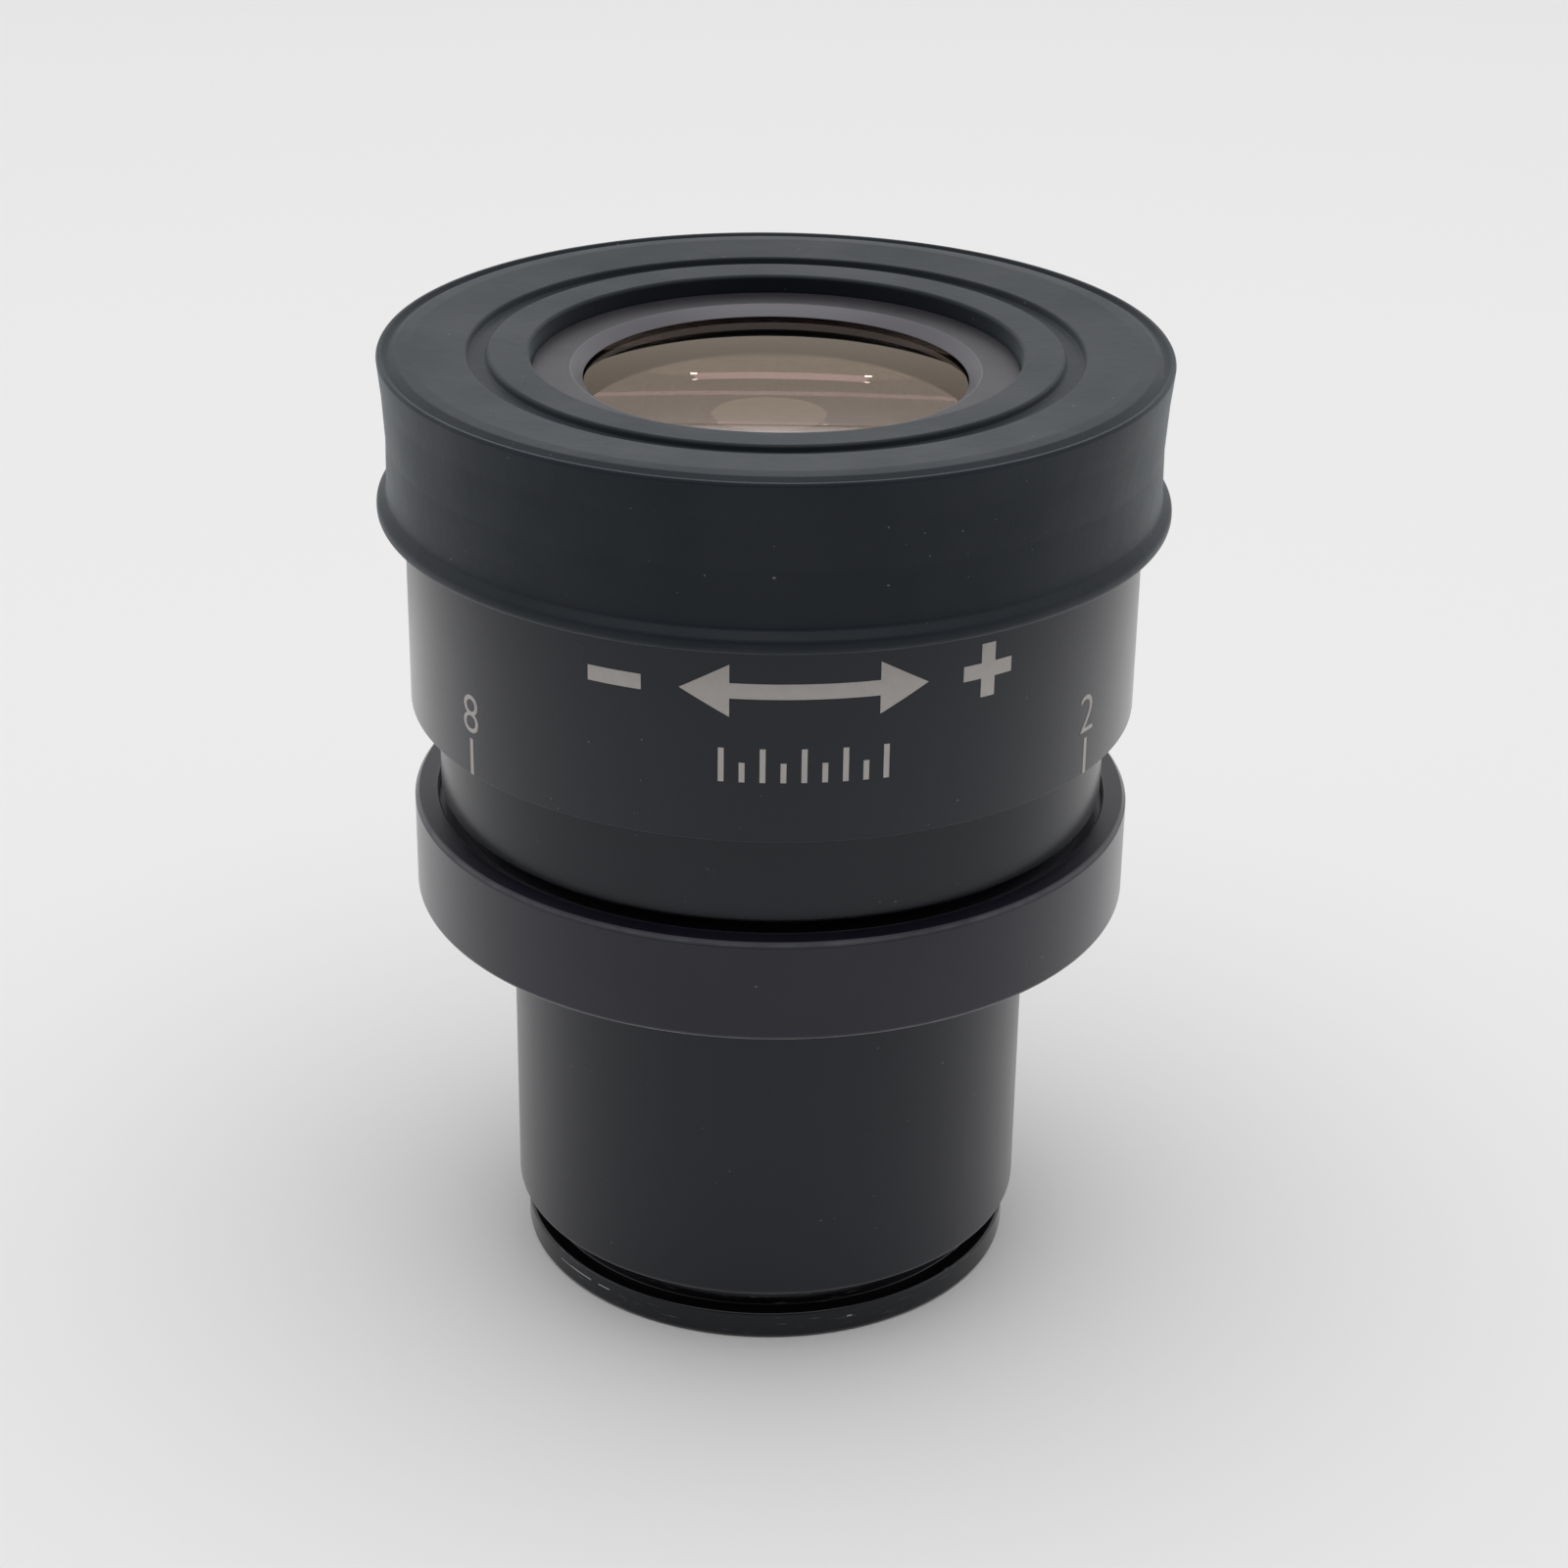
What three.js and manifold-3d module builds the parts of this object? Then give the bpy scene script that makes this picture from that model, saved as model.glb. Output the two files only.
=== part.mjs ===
// A wide-field microscope eyepiece for a 30 mm tube, with a dioptre ring and a folded rubber eyecup.
// Millimetres, +Z up along the optical axis. The eyepiece stands on its lower end at z = 0, and -Y is
// the side of the dioptre ring that carries the plus and minus marks.
import * as THREE from "three";
import { mergeVertices } from "three/addons/utils/BufferGeometryUtils.js";
import Module from "manifold-3d";

const wasm = await Module();
wasm.setup();

// ---- driving dimensions ---------------------------------------------------------------------------
const FACETS = 40; // sides of every turned piece
const ROD_FACETS = 16; // sides of the pin, the screws and their holes
const THREAD_GAP = 0.05; // radial gap in a screwed joint, and axial gap between seated faces
const RUNNING_GAP = 0.08; // radial clearance of the pieces that turn or slide

const barrelRadius = 15; // the standard 30 mm tube
const barrelBore = 13.6;
const barrelChamfer = 0.15;
const spigotRadius = 14.6; // the barrel's upper end, screwed into the collar
const spigotFoot = 25;
const spigotTop = 27.2;

const shoulderZ = 23.25; // where the eyepiece seats on the microscope's tube
const focalPlane = shoulderZ - 10; // the image lies 10 mm below the shoulder
const fieldRadius = 11; // half the field number of 22

const frameRadius = 14.47; // the screw-in frame at the lower end
const frameHeight = 1.7;
const frameChamfer = 0.25;
const frameGroove = 1.63; // open groove between the frame and the barrel
const frameTop = focalPlane + 1.25;
const frameBore = fieldRadius + 0.6;
const entryChamfer = 1;
const stopRadius = fieldRadius + 1.5; // outside of the field stop
const stopThickness = 0.6;
const stopBevel = 0.4; // width of the stop's knife edge

const collarRadius = 20.52;
const collarTop = 29.1;
const collarChamfer = 0.28;
const recessRadius = 19.15; // shallow recess in the collar's top, where the sleeve stands
const recessDepth = 0.6;
const socketRadius = 17.05; // the collar's upper bore, which takes the sleeve's foot
const socketFloor = 27.25;

const sleeveRadius = 19;
const sleeveNeck = 18.3; // the sleeve is this thin where it enters the recess
const sleeveFoot = 29.6; // bottom of the visible sleeve
const sleeveStep = 38; // above this the sleeve carries the helicoid thread
const sleeveTop = 46.5;
const sleeveLip = { width: 1.4, height: 1.5 }; // inward lip at its lower end
const threadRadius = 17.7;
const guideRadius = 15.52; // the lens cell's outside, sliding in the sleeve

const travel = 2.5; // dioptre travel each way
const guidePinRadius = 0.8;
const guidePinZ = 41.5;
const guidePinSeat = 13.4; // how near the axis its hole goes

const cellFoot = 31.6;
const cellTop = 53.6;
const neckRadius = 13.4; // the cell's upper end, inside the eyecup's hole
const mouthRadius = 12.95; // the cell's threaded mouth, which takes the bezel
const mouthDepth = 0.4;
const flangeRadius = 17.4; // the cell's flange, held between the helicoid ring and the keeper ring
const flangeZ = 49.95;
const flangeHeight = 0.75;

const lensRadius = 12.5;
const spacerWall = 0.7;
// Heights of each lens's edges, from the field side up, and how far its surfaces rise at the axis.
const flint = { low: 33, high: 37, bulgeLow: 0, bulgeHigh: -2 };
const crown = { low: 37 + THREAD_GAP, high: 38.2, bulgeLow: -2, bulgeHigh: 1.5 };
const middle = { low: 41.6, high: 43.2, bulgeLow: -1.2, bulgeHigh: 0.6 };
const eye = { low: 49, high: 53.13, bulgeLow: 0, bulgeHigh: 0.62 };

const bezelTop = 54.05;
const bezelAperture = 10.58;
const bezelCone = { width: 0.67, depth: 0.58 }; // sloping edge down to the glass
const bezelThread = 0.24; // how far the bezel screws into the cell

const ringRadius = 20.54; // dioptre ring
const ringFoot = 35.09;
const ringTop = 52.8;
const ringBore = 19.25;
const ringMouth = neckRadius + 0.8; // opening in its top flange
const ringChamfer = 0.1;
const grooveLow = 50.4; // groove that the eyecup's rib snaps into
const grooveHigh = 51.4;
const grooveDepth = 0.5;

const helicoidFoot = sleeveStep + travel + 0.2;
const helicoidTop = 51.8;
const helicoidLip = 0.8; // thickness of the lip that carries the cell's flange
const keeperBore = 17.6; // the helicoid ring's upper bore, which takes the flange and the keeper

const screwRadius = 0.8; // grub screws between the dioptre ring and the helicoid ring
const screwZ = 49;
const screwSeat = 18.3;
const screwAzimuths = [60, 180, 300];

const cupTop = 55.3;
const cupHole = 13.5;
const cupFold = { inner: 15.4, outer: 17.1, depth: 0.35 }; // groove where the rubber folds
const cupWall = 21.47;
const cupRadius = 22.05; // at the bead round the skirt's edge
const cupBeadZ = 46.65;
const cupBeadHalf = 0.45; // half the height of the bead's round

// ---- materials ------------------------------------------------------------------------------------
function material(color, roughness, metalness) {
  return new THREE.MeshStandardMaterial({ color, roughness, metalness });
}

const anodised = material(0x1b1c1e, 0.45, 0.6);
const glossBlack = material(0x0c0c0d, 0.2, 0.5);
const matteBlack = material(0x101012, 0.85, 0.3);
const bezelGrey = material(0x3a3640, 0.4, 0.6);
const rubber = material(0x2b2f36, 0.8, 0);
const brass = material(0xb08d4c, 0.35, 1);
const steel = material(0x8c8f93, 0.3, 1);
const glass = material(0x9a8c80, 0.05, 0);
glass.transparent = true;
glass.opacity = 0.35;

// ---- shapes ---------------------------------------------------------------------------------------
function welded(geometry) {
  // Shared corners and no empty triangles, so that the mesh is one closed skin.
  geometry.deleteAttribute("normal");
  geometry.deleteAttribute("uv");
  const joined = mergeVertices(geometry, 1e-5);
  const kept = [];
  for (let i = 0; i < joined.index.count; i += 3) {
    const [a, b, c] = [0, 1, 2].map((k) => joined.index.getX(i + k));
    if (a !== b && b !== c && c !== a) kept.push(a, b, c);
  }
  joined.setIndex(kept);
  return joined;
}

function lathe(outline) {
  const points = outline.map(([r, z]) => new THREE.Vector2(r, z));
  return welded(new THREE.LatheGeometry(points, FACETS).rotateX(Math.PI / 2));
}

function turned(outline) {
  // The outline is a closed loop of [radius, height], anticlockwise with the axis on its left.
  return lathe([...outline, outline[0]]);
}

function ring(inner, outer, low, high) {
  return turned([[inner, low], [outer, low], [outer, high], [inner, high]]);
}

function sphereCap(edgeZ, bulge, steps = 4) {
  // Points of a shallow lens surface from its edge to the axis.
  return Array.from({ length: steps + 1 }, (_, i) => {
    const share = 1 - i / steps;
    return [lensRadius * share, edgeZ + bulge * (1 - share * share)];
  });
}

function lens({ low, high, bulgeLow, bulgeHigh }) {
  return lathe([...sphereCap(low, bulgeLow).reverse(), ...sphereCap(high, bulgeHigh)]);
}

function rod(radius, from, to, z, azimuth) {
  // A short round rod lying along a radius of the eyepiece; azimuth 0 is -Y, and 90 degrees is +X.
  const geometry = new THREE.CylinderGeometry(radius, radius, to - from, ROD_FACETS);
  geometry.translate(0, -(from + to) / 2, 0).translate(0, 0, z);
  return welded(geometry.rotateZ(THREE.MathUtils.degToRad(azimuth)));
}

function toSolid(geometry) {
  return new wasm.Manifold(new wasm.Mesh({
    numProp: 3,
    vertProperties: new Float32Array(geometry.attributes.position.array),
    triVerts: new Uint32Array(geometry.index.array),
  }));
}

function cut(geometry, ...cutters) {
  let solid = toSolid(geometry);
  for (const cutter of cutters) solid = solid.subtract(toSolid(cutter));
  const mesh = solid.getMesh();
  const result = new THREE.BufferGeometry();
  result.setAttribute("position", new THREE.BufferAttribute(new Float32Array(mesh.vertProperties), 3));
  result.setIndex([...mesh.triVerts]);
  return result;
}

const eyepiece = new THREE.Group();
function add(name, geometry, look) {
  const mesh = new THREE.Mesh(geometry, look);
  mesh.name = name;
  eyepiece.add(mesh);
}

// ---- fixed body: barrel, collar and sleeve --------------------------------------------------------
function addMountFrame() {
  // The frame screws up into the barrel and carries the field stop in a pocket in its top.
  const noseRadius = barrelBore - THREAD_GAP;
  const stopFoot = focalPlane - stopThickness / 2;
  const pocketRadius = stopRadius + 2 * THREAD_GAP;
  const pocketFloor = stopFoot - THREAD_GAP;
  add("mount_frame", turned([
    [frameBore + entryChamfer, 0], [frameRadius - frameChamfer, 0], [frameRadius, frameChamfer],
    [frameRadius, frameHeight], [noseRadius, frameHeight], [noseRadius, frameTop],
    [pocketRadius, frameTop], [pocketRadius, pocketFloor], [frameBore, pocketFloor],
    [frameBore, entryChamfer],
  ]), glossBlack);

  // The stop's knife edge lies in the focal plane.
  const stopTop = stopFoot + stopThickness;
  add("field_stop", turned([
    [fieldRadius, focalPlane], [fieldRadius + stopBevel, stopFoot], [stopRadius, stopFoot],
    [stopRadius, stopTop], [fieldRadius + stopBevel, stopTop],
  ]), matteBlack);
  const retainerBore = fieldRadius + stopBevel + 0.1;
  add("stop_retainer", ring(retainerBore, stopRadius, stopTop + THREAD_GAP, frameTop), matteBlack);
}

function addBarrel() {
  const foot = frameHeight + frameGroove;
  add("barrel_tube", turned([
    [barrelBore, foot], [barrelRadius - barrelChamfer, foot], [barrelRadius, foot + barrelChamfer],
    [barrelRadius, spigotFoot], [spigotRadius, spigotFoot], [spigotRadius, spigotTop],
    [barrelBore, spigotTop],
  ]), anodised);
}

const recessFloor = collarTop - recessDepth;

function addCollar() {
  // The seating flange: the barrel screws in from below, and the sleeve stands in its upper bore.
  const spigotBore = spigotRadius + THREAD_GAP;
  const bore = barrelRadius + THREAD_GAP;
  const seat = spigotFoot + THREAD_GAP;
  add("collar", turned([
    [spigotBore, seat], [bore, seat], [bore, shoulderZ], [collarRadius - collarChamfer, shoulderZ],
    [collarRadius, shoulderZ + collarChamfer], [collarRadius, collarTop - collarChamfer],
    [collarRadius - collarChamfer, collarTop], [recessRadius, collarTop], [recessRadius, recessFloor],
    [socketRadius, recessFloor], [socketRadius, socketFloor], [spigotBore, socketFloor],
  ]), anodised);
}

function addSleeve() {
  // The fixed sleeve: a foot in the collar, a plain part that shows and a helicoid thread above it.
  const bore = guideRadius + RUNNING_GAP;
  const lipBore = bore - sleeveLip.width;
  const foot = socketFloor + THREAD_GAP;
  const lipTop = foot + sleeveLip.height;
  const footRadius = socketRadius - THREAD_GAP;
  const seat = recessFloor + THREAD_GAP;
  const body = turned([
    [lipBore, foot], [footRadius, foot], [footRadius, seat], [sleeveNeck, seat],
    [sleeveNeck, sleeveFoot], [sleeveRadius, sleeveFoot], [sleeveRadius, sleeveStep],
    [threadRadius, sleeveStep], [threadRadius, sleeveTop], [bore, sleeveTop], [bore, lipTop],
    [lipBore, lipTop],
  ]);
  // The guide pin slides in an upright slot whose ends stop the dioptre travel.
  const slotWidth = 2 * (guidePinRadius + RUNNING_GAP);
  const slotHeight = 2 * (travel + guidePinRadius + THREAD_GAP);
  const slotDepth = 2 * (threadRadius - lipBore);
  const slot = new THREE.BoxGeometry(slotWidth, slotDepth, slotHeight);
  slot.translate(0, threadRadius, guidePinZ);
  add("lower_sleeve", cut(body, welded(slot)), anodised);
}

// ---- sliding body: lens cell ----------------------------------------------------------------------
function addLensCell() {
  const bore = lensRadius + THREAD_GAP;
  const flangeTop = flangeZ + flangeHeight;
  const mouthFloor = cellTop - mouthDepth;
  const body = turned([
    [bore, cellFoot], [guideRadius, cellFoot], [guideRadius, flangeZ], [flangeRadius, flangeZ],
    [flangeRadius, flangeTop], [neckRadius, flangeTop], [neckRadius, cellTop],
    [mouthRadius, cellTop], [mouthRadius, mouthFloor], [bore, mouthFloor],
  ]);
  const pinHole = rod(guidePinRadius + 0.1, guidePinSeat, guideRadius + 2, guidePinZ, 180);
  add("lens_cell", cut(body, pinHole), anodised);
  const pinEnd = threadRadius - 0.2;
  add("guide_pin", rod(guidePinRadius, guidePinSeat + 0.1, pinEnd, guidePinZ, 180), steel);
}

function addLenses() {
  const elements = { field_flint: flint, field_crown: crown, middle_lens: middle, eye_lens: eye };
  for (const [name, element] of Object.entries(elements)) add(name, lens(element), glass);

  // Each spacer stops just short of the lens surface at its own bore.
  const inner = lensRadius - spacerWall;
  const clear = (bulge) => THREAD_GAP + bulge * (1 - (inner / lensRadius) ** 2);
  const spacer = (name, bore, low, high) => add(name, ring(bore, lensRadius, low, high), matteBlack);
  spacer("field_retainer", inner - 0.6, cellFoot + 0.1, flint.low - THREAD_GAP);
  spacer("lower_spacer", inner, crown.high + clear(crown.bulgeHigh), middle.low - clear(-middle.bulgeLow));
  spacer("upper_spacer", inner, middle.high + clear(middle.bulgeHigh), eye.low - THREAD_GAP);
}

function addBezel() {
  // The bezel screws into the cell's mouth over the eye lens, with a conical edge round the glass.
  const foot = cellTop - bezelThread;
  const thread = mouthRadius - THREAD_GAP;
  const rimFoot = cellTop + THREAD_GAP;
  const coneFoot = bezelTop - bezelCone.depth;
  add("bezel_ring", turned([
    [bezelAperture + 0.15, foot], [thread, foot], [thread, rimFoot], [neckRadius, rimFoot],
    [neckRadius, bezelTop], [bezelAperture + bezelCone.width, bezelTop], [bezelAperture, coneFoot],
  ]), bezelGrey);
}

// ---- turning body: dioptre ring and eyecup --------------------------------------------------------
function screwHoles() {
  return screwAzimuths.map((azimuth) => rod(screwRadius + 0.1, screwSeat, ringRadius + 1, screwZ, azimuth));
}

function addHelicoidRing() {
  // Its bore runs on the sleeve's thread, and its lip carries the lens cell's flange.
  const bore = threadRadius + RUNNING_GAP;
  const outer = ringBore - THREAD_GAP;
  const lipTop = flangeZ - THREAD_GAP;
  const lipFoot = lipTop - helicoidLip;
  const lipBore = guideRadius + RUNNING_GAP + THREAD_GAP;
  const body = turned([
    [bore, helicoidFoot], [outer, helicoidFoot], [outer, helicoidTop], [keeperBore, helicoidTop],
    [keeperBore, lipTop], [lipBore, lipTop], [lipBore, lipFoot], [bore, lipFoot],
  ]);
  add("helicoid_ring", cut(body, ...screwHoles()), brass);

  const keeperFoot = flangeZ + flangeHeight + THREAD_GAP;
  const keeperOuter = keeperBore - THREAD_GAP;
  add("keeper_ring", ring(neckRadius + 0.1, keeperOuter, keeperFoot, helicoidTop - 0.1), brass);
}

function addDioptreRing() {
  // The scale ring, with an inward top flange and a groove that the eyecup's rib snaps into.
  const grooveFloor = ringRadius - grooveDepth;
  const flangeFoot = helicoidTop + 0.1;
  const body = turned([
    [ringBore, ringFoot], [ringRadius - ringChamfer, ringFoot], [ringRadius, ringFoot + ringChamfer],
    [ringRadius, grooveLow], [grooveFloor, grooveLow], [grooveFloor, grooveHigh],
    [ringRadius, grooveHigh], [ringRadius, ringTop], [ringMouth, ringTop], [ringMouth, flangeFoot],
    [ringBore, flangeFoot],
  ]);
  add("dioptre_ring", cut(body, ...screwHoles()), anodised);
  screwAzimuths.forEach((azimuth, i) => {
    const screw = rod(screwRadius, screwSeat + 0.1, ringRadius - 0.15, screwZ, azimuth);
    add(`scale_screw_${i + 1}`, screw, steel);
  });
}

function addEyecup() {
  // The cup folded down over the ring: a flat top, a slightly hollow skirt and a bead at its edge.
  const inside = ringRadius + 0.06;
  const underTop = ringTop + THREAD_GAP;
  const rib = inside - grooveDepth + THREAD_GAP;
  const skirtTop = cupTop - 0.4;
  const face = cupTop - 0.15; // the inner part of the top is slightly lower
  const foldFloor = face - cupFold.depth;
  const beadSide = cupRadius - 0.2;
  add("eyecup", turned([
    [cupHole, underTop], [inside, underTop], [inside, grooveHigh - 0.1], [rib, grooveHigh - 0.2],
    [rib, grooveLow + 0.2], [inside, grooveLow + 0.1], [inside, cupBeadZ - 0.4],
    [beadSide - 0.55, cupBeadZ - 0.65], [beadSide, cupBeadZ - cupBeadHalf], [cupRadius, cupBeadZ],
    [beadSide, cupBeadZ + cupBeadHalf], [cupWall, cupBeadZ + 0.85], [cupWall - 0.02, 51],
    [cupWall + 0.28, 54.2], [cupWall + 0.2, skirtTop], [cupWall - 0.2, cupTop - 0.08],
    [cupWall - 0.8, cupTop], [cupFold.outer, face], [cupFold.outer - 0.6, foldFloor],
    [cupFold.inner + 0.5, foldFloor], [cupFold.inner, face], [cupHole + 0.8, cupTop - 0.2],
    [cupHole + 0.1, cupTop - 0.6], [cupHole, cupTop - 0.9],
  ]), rubber);
}

addMountFrame();
addBarrel();
addCollar();
addSleeve();
addLensCell();
addLenses();
addBezel();
addHelicoidRing();
addDioptreRing();
addEyecup();

export default eyepiece;
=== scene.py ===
"""Looks for a wide-field microscope eyepiece: turned metal parts, a folded rubber eyecup,
coated lenses and printed dioptre marks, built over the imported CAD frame."""
import math

import bmesh
import bpy
from mathutils import Matrix, Vector

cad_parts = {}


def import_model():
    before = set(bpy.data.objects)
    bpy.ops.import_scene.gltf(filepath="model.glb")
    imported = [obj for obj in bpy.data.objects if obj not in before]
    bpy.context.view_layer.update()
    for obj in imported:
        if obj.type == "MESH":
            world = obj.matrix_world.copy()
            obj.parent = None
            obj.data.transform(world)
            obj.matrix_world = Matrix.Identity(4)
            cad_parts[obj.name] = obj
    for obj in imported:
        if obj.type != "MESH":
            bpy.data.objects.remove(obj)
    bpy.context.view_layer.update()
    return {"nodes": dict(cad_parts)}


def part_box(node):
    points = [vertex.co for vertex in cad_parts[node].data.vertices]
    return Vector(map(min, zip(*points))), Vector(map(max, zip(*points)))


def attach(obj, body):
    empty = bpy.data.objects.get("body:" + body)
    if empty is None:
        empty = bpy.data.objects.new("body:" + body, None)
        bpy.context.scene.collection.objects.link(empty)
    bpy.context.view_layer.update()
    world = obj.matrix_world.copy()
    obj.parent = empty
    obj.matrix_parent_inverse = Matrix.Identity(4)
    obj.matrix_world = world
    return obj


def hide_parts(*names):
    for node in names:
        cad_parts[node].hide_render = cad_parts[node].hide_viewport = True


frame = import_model()

MM = 0.001
SIDES = 192  # sides of every turned piece


# ---- sizes, in millimetres, read from the frame ----------------------------------------------------
def size_of(node):
    """(outer radius, foot, top) of a turned CAD node, in millimetres."""
    low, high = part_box(node)
    return high[0] / MM, low[2] / MM, high[2] / MM


FRAME_R, FRAME_Z0, FRAME_Z1 = size_of("mount_frame")
BARREL_R, BARREL_Z0, BARREL_Z1 = size_of("barrel_tube")
COLLAR_R, COLLAR_Z0, COLLAR_Z1 = size_of("collar")
SLEEVE_R, _, SLEEVE_Z1 = size_of("lower_sleeve")
CELL_R, CELL_Z0, CELL_Z1 = size_of("lens_cell")
BEZEL_R, BEZEL_Z0, BEZEL_Z1 = size_of("bezel_ring")
NECK_R = BEZEL_R
RING_R, RING_Z0, RING_Z1 = size_of("dioptre_ring")
CUP_R, CUP_Z0, CUP_Z1 = size_of("eyecup")
LENS_R = size_of("eye_lens")[0]
BEZEL_APERTURE = 10.58
CONE_WIDTH, CONE_DEPTH = 0.67, 0.58
CONE_R = BEZEL_APERTURE + CONE_WIDTH  # where the bezel's cone meets its flat face
RECESS_R, RECESS_Z = 19.15, COLLAR_Z1 - 0.6  # the recess in the collar's top


# ---- materials -------------------------------------------------------------------------------------
class Look:
    """A Principled material with helpers for the few node patterns that the finishes share."""

    def __init__(self, name, roughness=0.5, metallic=0.0, specular=0.5):
        self.material = bpy.data.materials.new(name)
        self.material.use_nodes = True
        self.tree = self.material.node_tree
        self.shader = self.tree.nodes["Principled BSDF"]
        self.shader.inputs["Roughness"].default_value = roughness
        self.shader.inputs["Metallic"].default_value = metallic
        self.shader.inputs["Specular IOR Level"].default_value = specular
        self.place = self.node("ShaderNodeTexCoord").outputs["Object"]

    def node(self, kind, **settings):
        made = self.tree.nodes.new(kind)
        for key, value in settings.items():
            setattr(made, key, value)
        return made

    def link(self, source, target):
        self.tree.links.new(source, target)

    def noise(self, size_mm, detail=2.0, stretch=(1, 1, 1)):
        """Noise whose features are about size_mm wide, stretched along each axis."""
        scale = self.node("ShaderNodeMapping")
        scale.inputs["Scale"].default_value = [1 / (size_mm * MM * s) for s in stretch]
        self.link(self.place, scale.inputs["Vector"])
        noise = self.node("ShaderNodeTexNoise")
        noise.inputs["Scale"].default_value = 1.0
        noise.inputs["Detail"].default_value = detail
        self.link(scale.outputs["Vector"], noise.inputs["Vector"])
        return noise.outputs["Fac"]

    def remap(self, value, low, high, to_low=0.0, to_high=1.0):
        """value from low..high to to_low..to_high, clamped."""
        made = self.node("ShaderNodeMapRange")
        numbers = {"From Min": low, "From Max": high, "To Min": to_low, "To Max": to_high}
        for name, number in numbers.items():
            made.inputs[name].default_value = number
        self.link(value, made.inputs["Value"])
        return made.outputs["Result"]

    def math(self, operation, a, b):
        made = self.node("ShaderNodeMath", operation=operation)
        for socket, value in zip(made.inputs, (a, b)):
            if isinstance(value, (int, float)):
                socket.default_value = value
            else:
                self.link(value, socket)
        return made.outputs["Value"]

    def mix(self, share, first, second):
        """A colour between first and second, each a colour or a socket."""
        made = self.node("ShaderNodeMix", data_type="RGBA")
        self.link(share, made.inputs["Factor"])
        for name, value in (("A", first), ("B", second)):
            socket = next(s for s in made.inputs if s.name == name and s.type == "RGBA")
            if isinstance(value, tuple):
                socket.default_value = (*value, 1)
            else:
                self.link(value, socket)
        return next(s for s in made.outputs if s.type == "RGBA")

    def axis(self, name):
        """One object coordinate, in millimetres."""
        split = self.node("ShaderNodeSeparateXYZ")
        self.link(self.place, split.inputs["Vector"])
        return self.math("MULTIPLY", split.outputs[name], 1 / MM)

    def radius(self):
        """Distance from the optical axis, in millimetres."""
        x, y = self.axis("X"), self.axis("Y")
        squares = self.math("ADD", self.math("MULTIPLY", x, x), self.math("MULTIPLY", y, y))
        return self.math("SQRT", squares, 0)

    def band(self, value, centre, half_width):
        """1 where value is at centre, falling to 0 half_width away."""
        away = self.math("ABSOLUTE", self.math("SUBTRACT", value, centre), 0)
        return self.remap(away, 0, half_width, 1, 0)

    def colour(self, value):
        self.link(value, self.shader.inputs["Base Color"])

    def rough(self, value):
        self.link(value, self.shader.inputs["Roughness"])

    def bump(self, heights, depth_mm):
        """Adds (height socket, share) pairs up and uses them as bump."""
        total = None
        for height, share in heights:
            part = self.math("MULTIPLY", height, share)
            total = part if total is None else self.math("ADD", total, part)
        made = self.node("ShaderNodeBump")
        made.inputs["Strength"].default_value = 1.0
        made.inputs["Distance"].default_value = depth_mm * MM
        self.link(total, made.inputs["Height"])
        self.link(made.outputs["Normal"], self.shader.inputs["Normal"])


def rubber_look():
    """Moulded slate-black rubber with a dull bloom, fine grain and dust specks."""
    look = Look("rubber", specular=0.2)
    look.shader.inputs["Specular Tint"].default_value = (0.92, 0.97, 1.0, 1)
    grain = look.noise(0.09, 3)
    bloom = look.noise(6, 3)
    specks = look.remap(look.noise(0.35, 1), 0.79, 0.81)
    tone = look.mix(look.remap(bloom, 0.35, 0.65), (0.007, 0.0095, 0.0135), (0.0095, 0.012, 0.017))
    look.colour(look.mix(specks, tone, (0.1, 0.105, 0.11)))
    look.rough(look.remap(bloom, 0.3, 0.7, 0.52, 0.44))
    look.shader.inputs["Sheen Tint"].default_value = (0.86, 0.95, 1.0, 1)
    look.shader.inputs["Sheen Weight"].default_value = 0.2
    look.shader.inputs["Sheen Roughness"].default_value = 0.4
    look.bump([(grain, 1.0), (look.noise(1.2, 2), 1.5)], 0.012)
    return look.material


def satin_look(name, tone, roughness, grain_mm, depth_mm, haze, edges=(), bare_top=None):
    """Fine-grained black finish. haze lightens its sides, and stops short of a face at height bare_top.

    Each of edges is the (radius, height) of an edge painted lighter in broken lines, partly wear and
    partly a painted highlight."""
    look = Look(name, specular=0.37)
    look.shader.inputs["Specular Tint"].default_value = (0.9, 0.94, 1.0, 1)
    look.shader.inputs["Sheen Weight"].default_value = haze
    if bare_top:
        weight = look.remap(look.axis("Z"), bare_top - 0.06, bare_top - 0.02, haze, 0)
        look.link(weight, look.shader.inputs["Sheen Weight"])
    look.shader.inputs["Sheen Roughness"].default_value = 0.4
    grain = look.noise(grain_mm, 3)
    cloud = look.noise(9, 3)
    dark = tuple(0.85 * c for c in tone)
    light = tuple(1.15 * c for c in tone)
    colour = look.mix(look.remap(cloud, 0.35, 0.65), dark, light)
    specks = look.remap(look.noise(0.3, 1), 0.8, 0.82)
    colour = look.mix(specks, colour, (0.09, 0.09, 0.09))
    # each listed edge gets a lighter broken line: partly worn finish, partly a painted highlight along
    # the edge
    for radius, height in edges:
        near_height = look.band(look.axis("Z"), height, 0.2)
        near_radius = look.band(look.radius(), radius, 0.2)
        line = look.math("MULTIPLY", near_height, near_radius)
        wear_and_highlight = look.math("MULTIPLY", line, look.remap(look.noise(1.6, 4), 0.3, 0.7, 0.3, 1.0))
        colour = look.mix(wear_and_highlight, colour, (0.07, 0.07, 0.075))
    look.colour(colour)
    look.rough(look.remap(cloud, 0.3, 0.7, roughness - 0.03, roughness + 0.03))
    look.bump([(grain, 1.0), (look.noise(0.5, 2, (20, 20, 1)), 0.3)], depth_mm)
    return look.material


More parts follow.
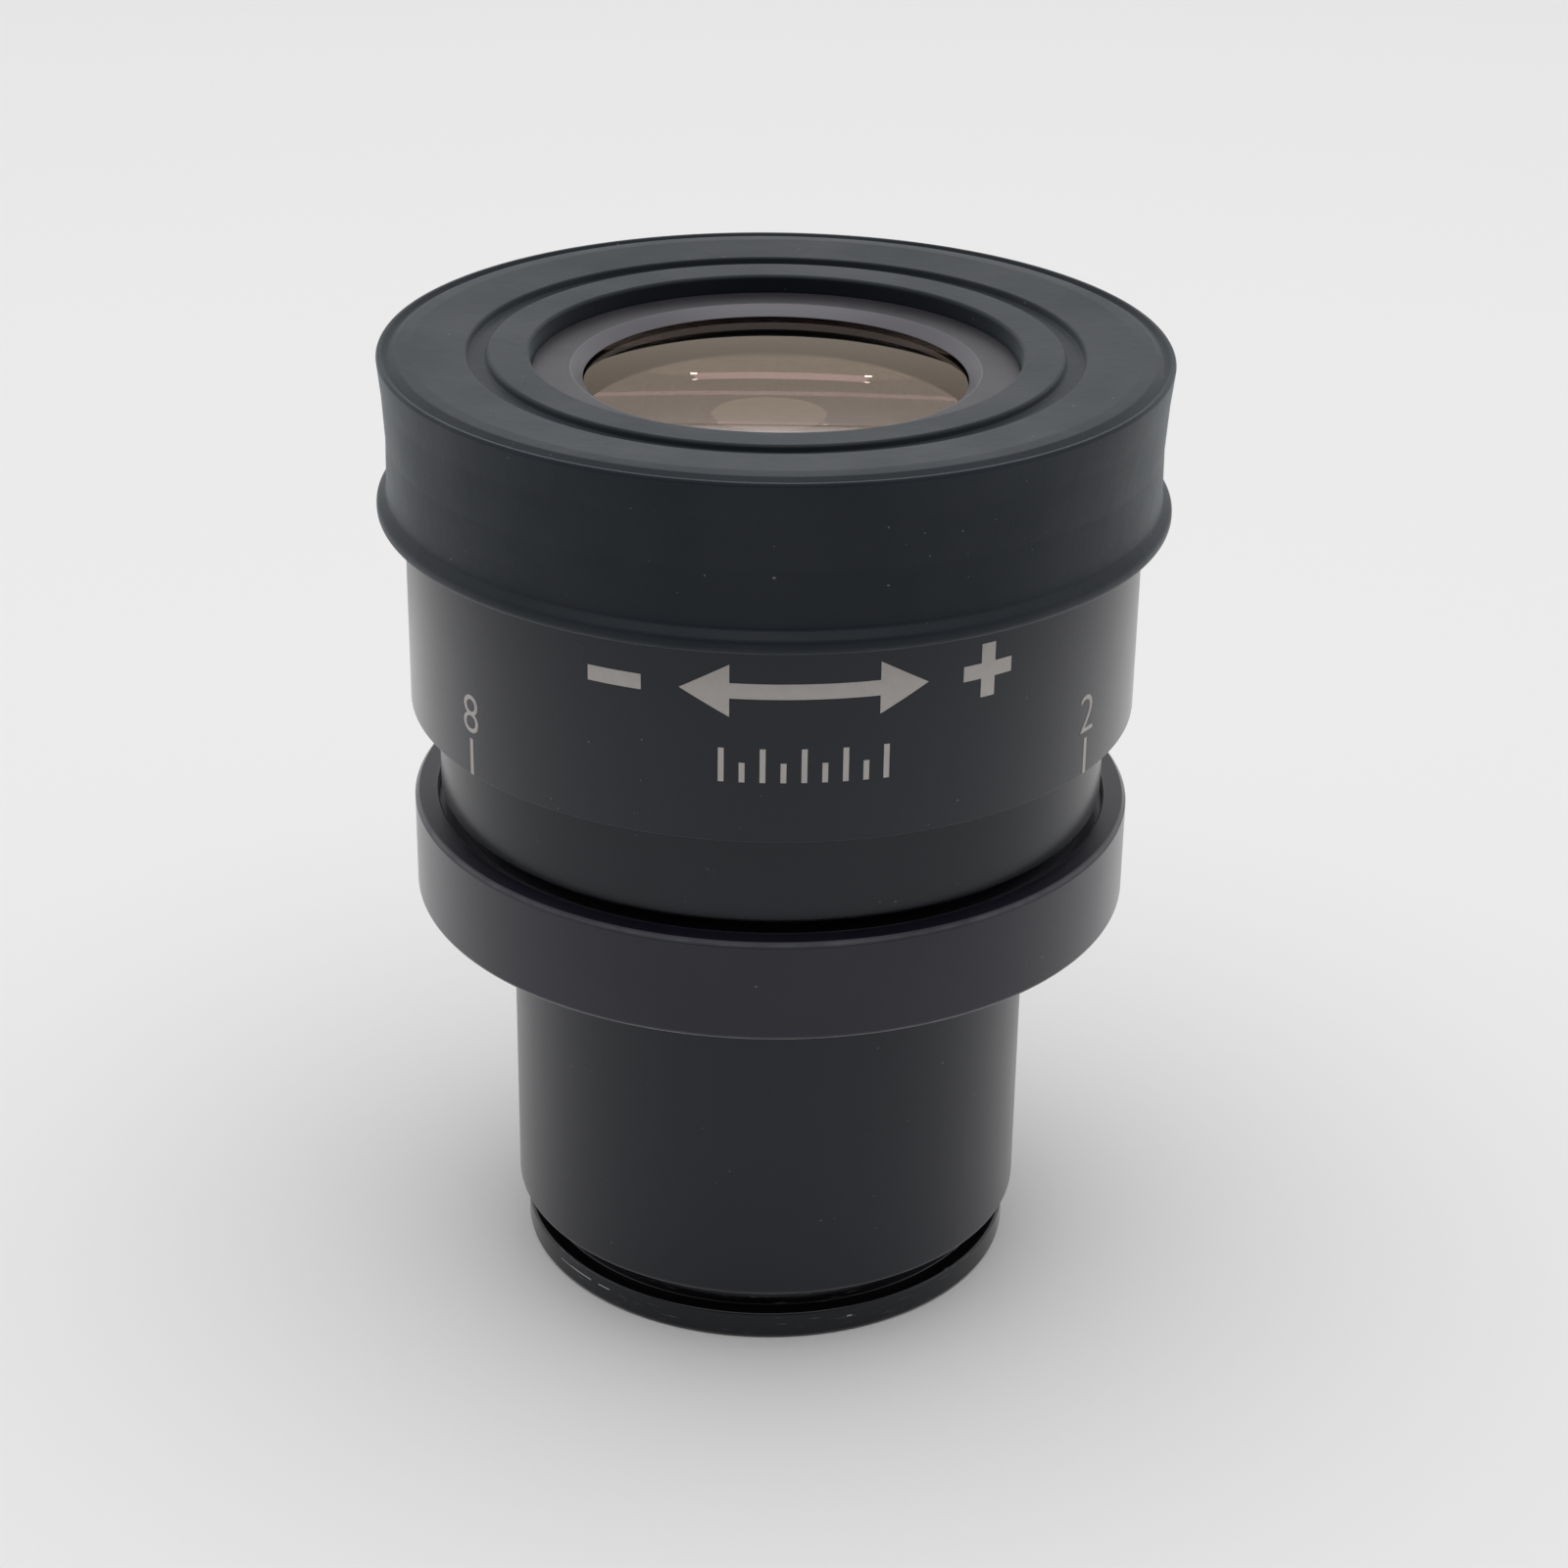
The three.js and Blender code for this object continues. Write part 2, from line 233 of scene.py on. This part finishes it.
def lacquer_look():
    """Gloss black lacquer with short fine scratches."""
    look = Look("gloss_lacquer", specular=0.45)
    look.shader.inputs["Specular Tint"].default_value = (0.9, 0.94, 1.0, 1)
    scratch = look.remap(look.noise(0.35, 2, (6, 6, 0.12)), 0.69, 0.72)
    look.colour(look.mix(scratch, (0.004, 0.004, 0.005), (0.2, 0.2, 0.2)))
    look.rough(look.remap(look.noise(2.5, 3), 0.35, 0.65, 0.14, 0.2))
    look.bump([(look.noise(1.5, 2), 1.0)], 0.004)
    return look.material


def bezel_look():
    """Purplish-grey anodised metal with fine turning marks round the axis."""
    look = Look("anodised_bezel", metallic=0.2, specular=0.5)
    turning = look.node("ShaderNodeTexNoise", noise_dimensions="1D")
    turning.inputs["Scale"].default_value = 1.0
    look.link(look.math("MULTIPLY", look.radius(), 22), turning.inputs["W"])
    marks = turning.outputs["Fac"]
    cloud = look.remap(look.noise(4, 3), 0.35, 0.65)
    face = look.mix(cloud, (0.028, 0.026, 0.031), (0.038, 0.035, 0.041))
    # the conical edge is painted much lighter than the flat face: a painted highlight of the lamp
    # overhead
    cone_highlight = look.remap(look.radius(), CONE_R, CONE_R + 0.1, 1, 0)
    look.colour(look.mix(cone_highlight, face, (0.105, 0.1, 0.112)))
    look.rough(look.remap(marks, 0.3, 0.7, 0.34, 0.44))
    look.bump([(marks, 1.0), (look.noise(0.12, 2), 0.6)], 0.004)
    return look.material


def inner_black_look():
    """Dead-black finish on the threads, spacers and inside walls."""
    look = Look("inner_black", specular=0.3)
    look.colour(look.mix(look.noise(0.2, 3), (0.006, 0.006, 0.007), (0.012, 0.012, 0.013)))
    look.rough(look.remap(look.noise(0.5, 2), 0.3, 0.7, 0.6, 0.8))
    ridges = look.math("SINE", look.math("MULTIPLY", look.axis("Z"), 2 * math.pi / 0.5), 0)
    look.bump([(ridges, 0.5), (look.noise(0.1, 2), 0.3)], 0.05)
    return look.material


def metal_look(name, dark, light, roughness):
    """Machined metal with fine marks round the axis, for the hidden rings, screws and pin."""
    look = Look(name, metallic=1.0)
    look.colour(look.mix(look.noise(1.5, 3), dark, light))
    marks = look.noise(0.08, 2, (30, 30, 1))
    look.rough(look.remap(marks, 0.3, 0.7, roughness - 0.06, roughness + 0.06))
    look.bump([(marks, 1.0)], 0.003)
    return look.material


def glass_look(name, tint, reflection, coating_nm):
    """Lens glass with a thin anti-reflection coating that colours its reflections."""
    look = Look(name, roughness=0.0, specular=0.5)
    look.colour(look.mix(look.noise(8, 2), tint, tuple(0.96 * c for c in tint)))
    look.shader.inputs["Transmission Weight"].default_value = 1.0
    look.shader.inputs["IOR"].default_value = 1.52
    look.shader.inputs["Thin Film Thickness"].default_value = coating_nm
    look.shader.inputs["Thin Film IOR"].default_value = 1.38
    look.shader.inputs["Specular Tint"].default_value = (*reflection, 1)
    return look.material


def paint_look():
    """Warm white screen-printed paint, slightly uneven."""
    look = Look("printed_marks", specular=0.4)
    look.colour(look.mix(look.noise(0.5, 3), (0.39, 0.365, 0.35), (0.46, 0.43, 0.415)))
    look.rough(look.remap(look.noise(0.3, 2), 0.3, 0.7, 0.5, 0.65))
    look.bump([(look.noise(0.07, 2), 1.0)], 0.004)
    return look.material


def floor_look():
    """Seamless pale paper."""
    look = Look("paper_floor", specular=0.2)
    look.colour(look.mix(look.noise(300, 2), (0.80, 0.797, 0.793), (0.82, 0.818, 0.815)))
    look.rough(look.remap(look.noise(3, 3), 0.3, 0.7, 0.75, 0.85))
    look.bump([(look.noise(0.8, 3), 1.0)], 0.01)
    return look.material


RUBBER = rubber_look()
RING_BLACK = satin_look("ring_satin", (0.0018, 0.0022, 0.0058), 0.32, 0.11, 0.006, 0.6)
SLEEVE_BLACK = satin_look("sleeve_satin", (0.004, 0.0045, 0.007), 0.26, 0.16, 0.003, 0.1)
# edges painted with lighter lines, partly wear and partly painted highlight
COLLAR_EDGES = (
    (COLLAR_R - 0.05, COLLAR_Z0 + 0.1),
    (COLLAR_R - 0.12, COLLAR_Z1 - 0.14),
    (RECESS_R + 0.03, COLLAR_Z1),
)
COLLAR_BLACK = satin_look(
    "collar_satin", (0.0085, 0.0075, 0.0145), 0.32, 0.12, 0.005, 0.4, COLLAR_EDGES, COLLAR_Z1
)
# the barrel's foot edge, painted with a lighter line, partly wear and partly painted highlight
BARREL_EDGES = ((BARREL_R - 0.1, BARREL_Z0 + 0.1),)
BARREL_BLACK = satin_look(
    "barrel_satin", (0.0056, 0.0058, 0.0098), 0.32, 0.13, 0.005, 0.3, BARREL_EDGES
)
LACQUER = lacquer_look()
BEZEL_GREY = bezel_look()
INNER_BLACK = inner_black_look()
BRASS = metal_look("brass", (0.5, 0.36, 0.14), (0.62, 0.46, 0.2), 0.3)
STEEL = metal_look("steel", (0.42, 0.43, 0.45), (0.55, 0.56, 0.58), 0.28)
EYE_GLASS = glass_look("eye_glass", (0.505, 0.44, 0.43), (0.9, 0.8, 0.67), 105)
DEEP_GLASS = glass_look("deep_glass", (0.7, 0.58, 0.64), (0.9, 0.6, 0.85), 135)
PAINT = paint_look()


# ---- turned pieces ---------------------------------------------------------------------------------
def rounded(corners, steps=6):
    """The closed outline of corners (radius, height, fillet), with each fillet as an arc."""
    points = []
    for i, (r, z, fillet) in enumerate(corners):
        here = Vector((r, z))
        back = Vector(corners[i - 1][:2]) - here
        on = Vector(corners[(i + 1) % len(corners)][:2]) - here
        half = back.angle(on) / 2
        if fillet <= 0 or math.pi / 2 - half < 0.01:
            points.append(here)
            continue
        reach = min(fillet / math.tan(half), 0.49 * back.length, 0.49 * on.length)
        radius = reach * math.tan(half)
        centre = here + (back.normalized() + on.normalized()).normalized() * radius / math.sin(half)
        first = here + back.normalized() * reach - centre
        last = here + on.normalized() * reach - centre
        sweep = first.angle_signed(last)
        points += [centre + Matrix.Rotation(-sweep * k / steps, 2) @ first for k in range(steps + 1)]
    return points


def revolve(name, points, closed, sides=SIDES):
    """A mesh of revolution round Z from points in millimetres. An open outline ends on the axis."""
    verts, rings = [], []
    for r, z in points:
        count = sides if r > 1e-6 else 1
        rings.append((len(verts), count))
        for k in range(count):
            angle = 2 * math.pi * k / sides
            verts.append((r * MM * math.cos(angle), r * MM * math.sin(angle), z * MM))
    faces = []
    pairs = list(zip(rings, rings[1:]))
    if closed:
        pairs.append((rings[-1], rings[0]))
    for (low, low_count), (high, high_count) in pairs:
        for k in range(sides):
            n = (k + 1) % sides
            face = [low + k % low_count, low + n % low_count]
            face += [high + n % high_count, high + k % high_count]
            faces.append(list(dict.fromkeys(face)))  # next to the axis this leaves a triangle
    mesh = bpy.data.meshes.new(name)
    mesh.from_pydata(verts, [], faces)
    mesh.shade_smooth()
    mesh.set_sharp_from_angle(angle=math.radians(40))
    piece = bpy.data.objects.new(name, mesh)
    bpy.context.scene.collection.objects.link(piece)
    even = piece.modifiers.new("even_normals", "WEIGHTED_NORMAL")
    even.keep_sharp = True
    return piece


def place(piece, look, body, node):
    """Gives a piece its material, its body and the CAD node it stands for."""
    piece.data.materials.append(look)
    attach(piece, body)
    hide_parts(node)


def turned(node, corners, look, body):
    """A turned piece that takes the place of a CAD node."""
    place(revolve(f"{node}_turned", rounded(corners), True), look, body, node)


def mount_frame():
    """The screw-in frame at the lower end, a gloss ring below a deep groove."""
    bore = 11.6
    nose = 13.55
    flange = 1.7
    turned("mount_frame", [
        (bore + 1, FRAME_Z0, 0.1), (FRAME_R, FRAME_Z0, 0.3), (FRAME_R, FRAME_Z0 + flange, 0.18),
        (nose, FRAME_Z0 + flange, 0.1), (nose, FRAME_Z1, 0.1), (bore + 1, FRAME_Z1, 0.1),
        (bore + 1, FRAME_Z1 - 1.6, 0), (bore, FRAME_Z1 - 1.6, 0.1), (bore, FRAME_Z0 + 1, 0.1),
    ], LACQUER, "body")


def barrel_tube():
    """The push-in barrel, with a spigot at the top that enters the collar."""
    bore = 13.6
    spigot, spigot_foot = 14.6, 25.0
    turned("barrel_tube", [
        (bore, BARREL_Z0, 0.1), (BARREL_R, BARREL_Z0, 0.22), (BARREL_R, spigot_foot, 0.05),
        (spigot, spigot_foot, 0), (spigot, BARREL_Z1, 0.1), (bore, BARREL_Z1, 0.1),
    ], BARREL_BLACK, "body")


def collar():
    """The seating flange, with a chamfered rim and a shallow recess in its flat top for the sleeve."""
    spigot_bore = 14.65
    seat = 25.05
    bore = BARREL_R + 0.05
    socket, socket_floor = 17.05, 27.25
    rim_width, rim_depth = 0.24, 0.28
    turned("collar", [
        (spigot_bore, seat, 0), (bore, seat, 0), (bore, COLLAR_Z0, 0.05), (COLLAR_R, COLLAR_Z0, 0.28),
        (COLLAR_R, COLLAR_Z1 - rim_depth, 0.1), (COLLAR_R - rim_width, COLLAR_Z1, 0.08),
        (RECESS_R, COLLAR_Z1, 0.12), (RECESS_R, RECESS_Z, 0.05), (socket, RECESS_Z, 0.05),
        (socket, socket_floor, 0.05), (spigot_bore, socket_floor, 0.05),
    ], COLLAR_BLACK, "body")


def lower_sleeve():
    """The fixed sleeve: its foot is screwed into the collar, its top carries the ring's thread."""
    foot, foot_r = 27.3, 17.0
    bore = 15.6
    lip_bore, lip_top = bore - 1.4, foot + 1.5
    seat = RECESS_Z + 0.05
    neck = SLEEVE_R - 0.7
    visible_foot, step = 29.6, 38.0
    thread = 17.7
    turned("lower_sleeve", [
        (lip_bore, foot, 0.05), (foot_r, foot, 0.05), (foot_r, seat, 0), (neck, seat, 0),
        (neck, visible_foot, 0), (SLEEVE_R, visible_foot, 0.15), (SLEEVE_R, step, 0.15),
        (thread, step, 0.1), (thread, SLEEVE_Z1, 0.2), (bore, SLEEVE_Z1, 0.1),
        (bore, lip_top, 0.05), (lip_bore, lip_top, 0.05),
    ], SLEEVE_BLACK, "body")


def lens_cell():
    """The tube that carries the lenses, with a flange near its top for the turning rings."""
    bore = LENS_R + 0.05
    guide = 15.52
    flange = 49.95
    flange_top = flange + 0.75
    mouth, mouth_floor = NECK_R - 0.45, CELL_Z1 - 0.4
    turned("lens_cell", [
        (bore, CELL_Z0, 0.1), (guide, CELL_Z0, 0.1), (guide, flange, 0), (CELL_R, flange, 0.05),
        (CELL_R, flange_top, 0.05), (NECK_R, flange_top, 0), (NECK_R, CELL_Z1, 0.05),
        (mouth, CELL_Z1, 0.05), (mouth, mouth_floor, 0), (bore, mouth_floor, 0.05),
    ], INNER_BLACK, "optics")


def bezel_ring():
    """The anodised ring over the eye lens: a flat face with a conical edge down to the glass."""
    thread = NECK_R - 0.5
    rim_foot = CELL_Z1 + 0.05
    turned("bezel_ring", [
        (BEZEL_APERTURE + 0.15, BEZEL_Z0, 0.03), (thread, BEZEL_Z0, 0.05), (thread, rim_foot, 0),
        (BEZEL_R, rim_foot, 0.05), (BEZEL_R, BEZEL_Z1, 0.05), (CONE_R, BEZEL_Z1, 0.06),
        (BEZEL_APERTURE, BEZEL_Z1 - CONE_DEPTH, 0.03),
    ], BEZEL_GREY, "optics")


def dioptre_ring():
    """The numbered ring, with a groove under the rubber that holds the eyecup."""
    bore = 19.25
    flange_bore = NECK_R + 0.8
    groove_low, groove_high = 50.4, 51.4
    groove_floor = RING_R - 0.5
    flange = 51.9
    turned("dioptre_ring", [
        (bore, RING_Z0, 0.1), (RING_R, RING_Z0, 0.03), (RING_R, groove_low, 0.05),
        (groove_floor, groove_low, 0.05), (groove_floor, groove_high, 0.05), (RING_R, groove_high, 0.05),
        (RING_R, RING_Z1, 0.2), (flange_bore, RING_Z1, 0.1), (flange_bore, flange, 0.1),
        (bore, flange, 0.1),
    ], RING_BLACK, "dioptre")


def eyecup():
    """The folded rubber cup.

    From the eye hole outwards: inner ring, fold groove, flat top, lip, skirt and bead.
    """
    hole = 13.5
    wall = 21.47
    inside = RING_R + 0.06
    roof = RING_Z1 + 0.05
    foot = CUP_Z0
    bead = 46.65
    rib, rib_low, rib_high = inside - 0.45, 50.5, 51.3
    groove_inner, groove_outer, groove_depth = 15.75, 16.95, 0.42
    face = CUP_Z1 - 0.2
    lip = wall + 0.32
    turned("eyecup", [
        (hole + 0.02, roof, 0.1), (inside, roof, 0.3), (inside, rib_high, 0.05),
        (rib, rib_high - 0.05, 0.1), (rib, rib_low + 0.05, 0.1), (inside, rib_low, 0.05),
        (inside, foot + 0.2, 0.2), (21.3, foot, 0.3), (CUP_R, bead - 0.35, 0.45),
        (CUP_R, bead + 0.3, 0.45), (wall + 0.02, bead + 0.75, 0.35), (wall - 0.04, 50.5, 3),
        (wall + 0.12, 53.2, 3), (lip, CUP_Z1 - 0.2, 0.15), (lip - 0.1, CUP_Z1 - 0.05, 0.06),
        (lip - 0.28, CUP_Z1 - 0.06, 0.06), (lip - 0.46, CUP_Z1 - 0.3, 0.1),
        (lip - 1.0, CUP_Z1 - 0.02, 0.3), (20.0, CUP_Z1, 2.0), (groove_outer, face, 0.16),
        (groove_outer - 0.12, face - groove_depth, 0.14),
        (groove_inner + 0.1, face - groove_depth, 0.14), (groove_inner, face, 0.2),
        (hole, face - 0.06, 0.22),
    ], RUBBER, "dioptre")


def lens(node, edge_low, edge_high, bulge_low, bulge_high, look):
    """A lens with spherical faces. Each bulge is how far its face rises at the axis above its edge."""
    steps = 40
    shares = [k / steps for k in range(steps + 1)]

    def face(edge, bulge):
        return [(LENS_R * s, edge + bulge * (1 - s * s)) for s in shares]
    outline = face(edge_low, bulge_low) + face(edge_high, bulge_high)[::-1]
    place(revolve(f"{node}_polished", outline, False), look, "optics", node)


def lenses():
    """The cemented field doublet, the middle lens and the eye lens, from the lower end up."""
    lens("field_flint", 33, 37, 0, -2, DEEP_GLASS)
    lens("field_crown", 37.05, 38.2, -2, 1.5, DEEP_GLASS)
    lens("middle_lens", 41.6, 43.2, -1.2, 0.6, DEEP_GLASS)
    lens("eye_lens", 49, 53.13, 0, 0.62, EYE_GLASS)


def hidden_nodes():
    """The CAD's own solids stay for the parts inside; each gets a real finish."""
    looks = {
        "field_stop": INNER_BLACK, "stop_retainer": INNER_BLACK, "field_retainer": INNER_BLACK,
        "lower_spacer": INNER_BLACK, "upper_spacer": INNER_BLACK, "guide_pin": STEEL,
        "helicoid_ring": BRASS, "keeper_ring": BRASS,
        "scale_screw_1": STEEL, "scale_screw_2": STEEL, "scale_screw_3": STEEL,
    }
    for node, look in looks.items():
        materials = frame["nodes"][node].data.materials
        materials.clear()
        materials.append(look)


# ---- printed marks and scratches -------------------------------------------------------------------
PRINT_MM = 0.02  # thickness of the paint
BEND_MM = 0.35  # marks are split this often so that they follow the curve


def printed(name, mesh, radius, azimuth, height, body, look=PAINT):
    """Wraps a flat mesh (x along the surface, y up, millimetres) round the axis as a film of paint."""
    shape = bmesh.new()
    shape.from_mesh(mesh)
    bpy.data.meshes.remove(mesh)
    low = min(v.co.x for v in shape.verts)
    high = max(v.co.x for v in shape.verts)
    for k in range(1, math.ceil((high - low) / BEND_MM)):
        everything = shape.verts[:] + shape.edges[:] + shape.faces[:]
        cut = (low + k * BEND_MM, 0, 0)
        bmesh.ops.bisect_plane(shape, geom=everything, plane_co=cut, plane_no=(1, 0, 0))
    front = bmesh.ops.extrude_face_region(shape, geom=shape.faces[:])
    raised = [v for v in front["geom"] if isinstance(v, bmesh.types.BMVert)]
    for v in shape.verts:
        v.co.z = 0
    for v in raised:
        v.co.z = PRINT_MM
    for v in shape.verts:
        angle = math.radians(azimuth) + v.co.x / radius
        reach = (radius - PRINT_MM / 4 + v.co.z) * MM
        v.co = (reach * math.sin(angle), -reach * math.cos(angle), (height + v.co.y) * MM)
    bmesh.ops.recalc_face_normals(shape, faces=shape.faces[:])
    wrapped = bpy.data.meshes.new(name)
    shape.to_mesh(wrapped)
    shape.free()
    piece = bpy.data.objects.new(name, wrapped)
    bpy.context.scene.collection.objects.link(piece)
    piece.data.materials.append(look)
    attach(piece, body)


def flat_shape(outline):
    """A flat mesh with one face."""
    mesh = bpy.data.meshes.new("flat")
    mesh.from_pydata([(x, y, 0) for x, y in outline], [], [list(range(len(outline)))])
    return mesh


def bar(width, height, foot=0.0):
    """A rectangle centred on x = 0, standing on y = foot."""
    half, top = width / 2, foot + height
    return flat_shape([(-half, foot), (half, foot), (half, top), (-half, top)])


def plus_sign(size, stroke):
    """A plus sign centred on the origin."""
    a, b = size / 2, stroke / 2
    corner = [(a, -b), (a, b), (b, b)]
    outline = []
    for turn in range(4):
        rotate = Matrix.Rotation(turn * math.pi / 2, 2)
        outline += [tuple(rotate @ Vector(p)) for p in corner]
    return flat_shape(outline)


def double_arrow(length, head, stroke):
    """An arrow with a head at each end, centred on the origin."""
    half, b = length / 2, stroke / 2
    neck = half - head * 0.9
    right = [(neck, -b), (neck, -head / 2), (half, 0), (neck, head / 2), (neck, b)]
    left = [(-x, -y) for x, y in right]
    return flat_shape(right + left)


def numeral(text, height):
    """A thin digit of that height, centred on x = 0 and standing on y = 0."""
    curve = bpy.data.curves.new("digit", "FONT")
    curve.body = text
    curve.size = height / 0.7
    curve.offset = -height * 0.012
    curve.resolution_u = 6
    holder = bpy.data.objects.new("digit", curve)
    bpy.context.scene.collection.objects.link(holder)
    bpy.context.view_layer.update()
    mesh = bpy.data.meshes.new_from_object(holder)
    bpy.data.objects.remove(holder)
    xs = [v.co.x for v in mesh.vertices]
    ys = [v.co.y for v in mesh.vertices]
    scale = height / (max(ys) - min(ys))
    middle = (max(xs) + min(xs)) / 2
    for v in mesh.vertices:
        v.co = ((v.co.x - middle) * scale, (v.co.y - min(ys)) * scale, 0)
    return mesh


def dioptre_scale():
    """Numerals 2, 4, 6 and 8 spread round the back, with a tick under each and one between."""
    first, last = 55.4, 308.7
    per_unit = (last - first) / 6
    stroke, long_tick, short_tick = 0.28, 2.1, 2.1 * 0.6
    tick_foot, numeral_foot = RING_Z0 + 0.05, RING_Z0 + 2.5
    for value in range(2, 9):
        azimuth = first + (value - 2) * per_unit
        numbered = value % 2 == 0
        tick = bar(stroke, long_tick if numbered else short_tick)
        printed(f"tick_{value}", tick, RING_R, azimuth, tick_foot, "dioptre")
        if numbered:
            digit = numeral(str(value), 2.2)
            printed(f"numeral_{value}", digit, RING_R, azimuth, numeral_foot, "dioptre")


def direction_marks():
    """Plain minus, double arrow and plus that say which way the ring turns, over nine fine ticks."""
    middle, height, span = 4.8, 43.6, 28.0
    size, stroke = 3.0, 0.85
    printed("minus_mark", bar(size, stroke, -stroke / 2), RING_R, middle - span, height, "dioptre")
    printed("plus_mark", plus_sign(size, stroke), RING_R, middle + span, height, "dioptre")
    printed("turn_arrow", double_arrow(13.0, 2.9, stroke), RING_R, middle, height, "dioptre")
    spacing, fine_height = 3, 38.5
    for k in range(-4, 5):
        tick = bar(0.3, 1.9 if k % 2 == 0 else 1.1)
        azimuth = middle + spacing * k
        printed(f"fine_mark_{k + 5}", tick, RING_R, azimuth, fine_height, "dioptre")


def index_line():
    """The line on the fixed sleeve that the scale is read against, at the middle of the scale."""
    printed("index_line", bar(0.3, 3.4), SLEEVE_R, 182.3, 31.2, "body")


def base_scratches():
    """Bright scratches and a nick along the lower ring's lacquer, as (azimuth, length, width)."""
    scratches = ((-54, 1.2, 0.05), (-48.5, 1.9, 0.08), (-40.5, 0.9, 0.07), (20, 0.3, 0.07))
    height = FRAME_Z0 + 1.05
    for k, (azimuth, length, width) in enumerate(scratches):
        printed(f"scratch_{k + 1}", bar(length, width), FRAME_R, azimuth, height, "body", STEEL)


# ---- floor, light and camera -----------------------------------------------------------------------
def floor():
    """A flat sheet of paper, far larger than the picture."""
    size = 4.0
    mesh = bpy.data.meshes.new("floor")
    grid = bmesh.new()
    bmesh.ops.create_grid(grid, x_segments=8, y_segments=8, size=size)
    grid.to_mesh(mesh)
    grid.free()
    ground = bpy.data.objects.new("floor", mesh)
    bpy.context.scene.collection.objects.link(ground)
    mesh.materials.append(floor_look())


def world():
    """A white studio: bright above and behind, dimmer on the side where the camera stands."""
    made = bpy.data.worlds.new("studio")
    bpy.context.scene.world = made
    made.use_nodes = True
    nodes, links = made.node_tree.nodes, made.node_tree.links
    place_node = nodes.new("ShaderNodeTexCoord")
    split = nodes.new("ShaderNodeSeparateXYZ")
    links.new(place_node.outputs["Generated"], split.inputs["Vector"])
    ramp = nodes.new("ShaderNodeMapRange")
    numbers = {"From Min": -0.95, "From Max": -0.1, "To Min": 0.03, "To Max": 1.2}
    for name, number in numbers.items():
        ramp.inputs[name].default_value = number
    links.new(split.outputs["Y"], ramp.inputs["Value"])
    back = nodes["Background"]
    back.inputs["Color"].default_value = (0.76, 0.76, 0.765, 1)
    links.new(ramp.outputs["Result"], back.inputs["Strength"])


def soft_light(name, place_m, size_m, watts, tint=(1, 1, 1), shape="RECTANGLE"):
    """A softbox of size (width, height) in metres that faces the object."""
    data = bpy.data.lights.new(name, "AREA")
    data.shape = shape
    data.size, data.size_y = size_m
    data.energy = watts
    data.color = tint
    lamp = bpy.data.objects.new(name, data)
    lamp.location = place_m
    lamp.rotation_euler = (Vector((0, 0, 0.03)) - Vector(place_m)).to_track_quat("-Z", "Y").to_euler()
    lamp.visible_camera = False
    bpy.context.scene.collection.objects.link(lamp)


def reflected_lamps():
    """Small faint lamps behind the eyepiece, there only for the gleams they leave in the eye lens."""
    distance = 0.4
    low, high, half = 0.19, 0.1985, 0.026
    middle = 0.0015
    pink, cream = (1.0, 0.7, 0.95), (1.0, 0.93, 0.85)
    strip = (2 * half, high - low)
    soft_light("gleam", (middle, distance, (low + high) / 2), strip, 0.0013, pink)
    soft_light("cream_gleam", (-0.002, distance, 0.245), (0.038, 0.04), 0.0018, cream, "ELLIPSE")
    for side in (-1, 1):
        dot = (middle + side * half, distance, low)
        soft_light(f"upper_dot_{side + 1}", dot, (0.002, 0.002), 0.00015)
        dot = (middle + side * half, distance, high)
        soft_light(f"lower_dot_{side + 1}", dot, (0.0015, 0.0015), 0.00004)


def camera():
    """The viewpoint of the picture: in front, looking down on the eyecup."""
    data = bpy.data.cameras.new("camera")
    data.sensor_width = 36
    data.lens = 77.3
    data.clip_start = 0.01
    data.clip_end = 20
    eye = bpy.data.objects.new("camera", data)
    down, yaw, roll = math.radians(25.53), math.radians(0.25), math.radians(0.85)
    ahead = Vector((math.sin(yaw) * math.cos(down), math.cos(yaw) * math.cos(down), -math.sin(down)))
    across = Vector((math.cos(yaw), -math.sin(yaw), 0))
    up = across.cross(ahead)
    right = math.cos(roll) * across + math.sin(roll) * up
    top = math.cos(roll) * up - math.sin(roll) * across
    turn = Matrix((right, top, -ahead)).transposed().to_4x4()
    eye.matrix_world = Matrix.Translation((0, -0.1764, 0.1129)) @ turn
    bpy.context.scene.collection.objects.link(eye)
    bpy.context.scene.camera = eye


TURNED_PIECES = (
    mount_frame, barrel_tube, collar, lower_sleeve, lens_cell, lenses, bezel_ring, dioptre_ring, eyecup
)
for build in TURNED_PIECES:
    build()
hidden_nodes()
dioptre_scale()
direction_marks()
index_line()
base_scratches()
floor()
world()
soft_light("top_softbox", (0.0, -0.15, 0.9), (0.9, 0.9), 3.45)
reflected_lamps()
camera()
bpy.context.scene.view_settings.view_transform = "Standard"
